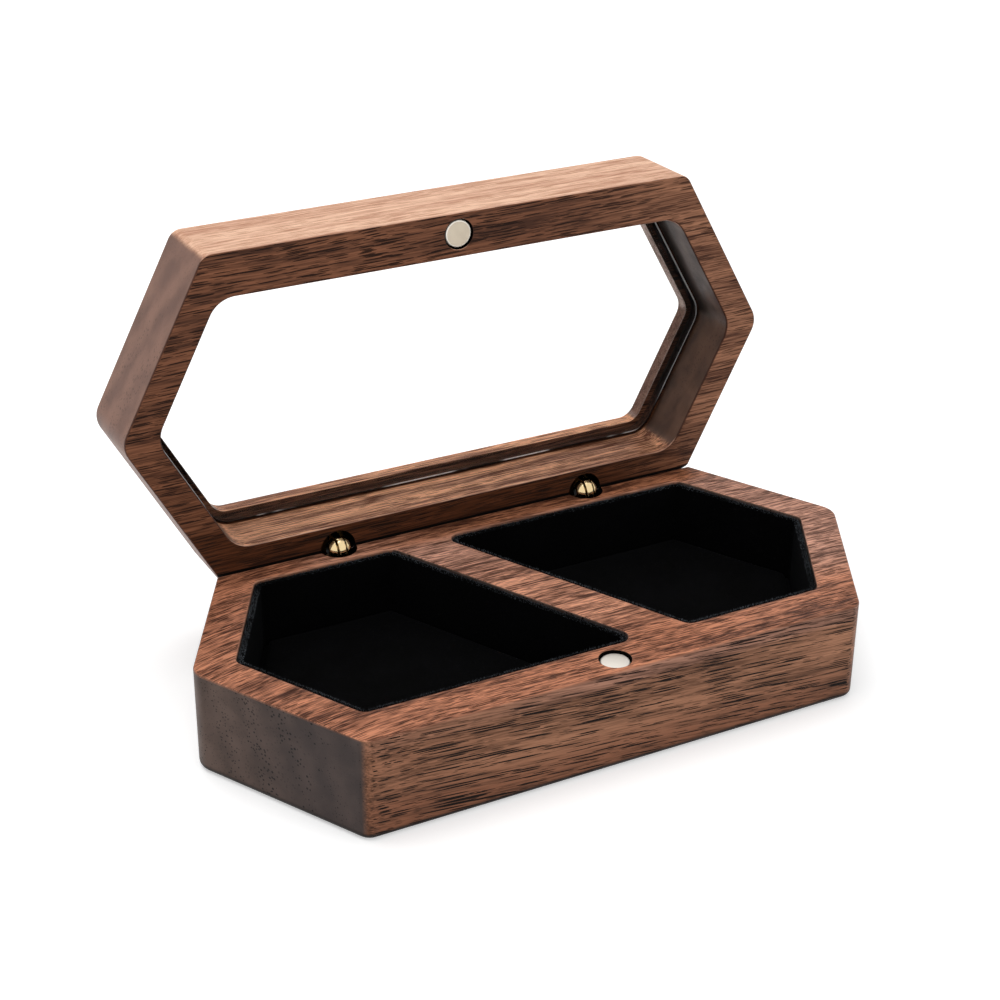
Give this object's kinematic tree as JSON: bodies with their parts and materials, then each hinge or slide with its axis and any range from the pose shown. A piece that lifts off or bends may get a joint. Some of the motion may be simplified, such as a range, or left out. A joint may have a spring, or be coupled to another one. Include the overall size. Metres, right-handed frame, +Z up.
{
  "type": "ring display box",
  "caption": "Six-sided walnut ring box with two velvet-lined pockets and a magnet-held windowed lid that stands open on concealed barrel hinges.",
  "frame": {"origin": "centre of the base's flat underside", "axes": "+X along the box's length, to the right seen from the front; -Y at the front; +Z up"},
  "size_m": [0.119, 0.0731, 0.0732],
  "materials": {
    "walnut": "oiled, open-pored black walnut",
    "black_velvet": "short-pile velvet",
    "grey_card": "plain board",
    "clear_acrylic": "clear, polished",
    "nickel_plate": "satin nickel plate",
    "polished_brass": "polished",
    "pin_steel": "ground"
  },
  "bodies": {
    "base": {"base_block": "walnut", "left_wall_liner": "black_velvet", "right_wall_liner": "black_velvet", "left_floor_pad": "black_velvet", "right_floor_pad": "black_velvet", "left_floor_card": "grey_card", "right_floor_card": "grey_card", "base_magnet": "nickel_plate", "left_base_barrel": "polished_brass", "left_outer_leaves": "polished_brass", "left_pivot_pin": "pin_steel", "left_base_leaf_pin": "pin_steel", "right_base_barrel": "polished_brass", "right_outer_leaves": "polished_brass", "right_pivot_pin": "pin_steel", "right_base_leaf_pin": "pin_steel"},
    "lid": {"lid_frame": "walnut", "window_pane": "clear_acrylic", "lid_magnet": "nickel_plate", "left_lid_barrel": "polished_brass", "left_middle_leaf": "polished_brass", "left_lid_leaf_pin": "pin_steel", "right_lid_barrel": "polished_brass", "right_middle_leaf": "polished_brass", "right_lid_leaf_pin": "pin_steel"}
  },
  "joints": [
    {"name": "lid_hinge", "type": "hinge", "parent": "base", "child": "lid", "pos_m": [0, 0.026, 0.01787], "axis": [1, 0, 0], "range_deg": [0, 92.5]}
  ]
}
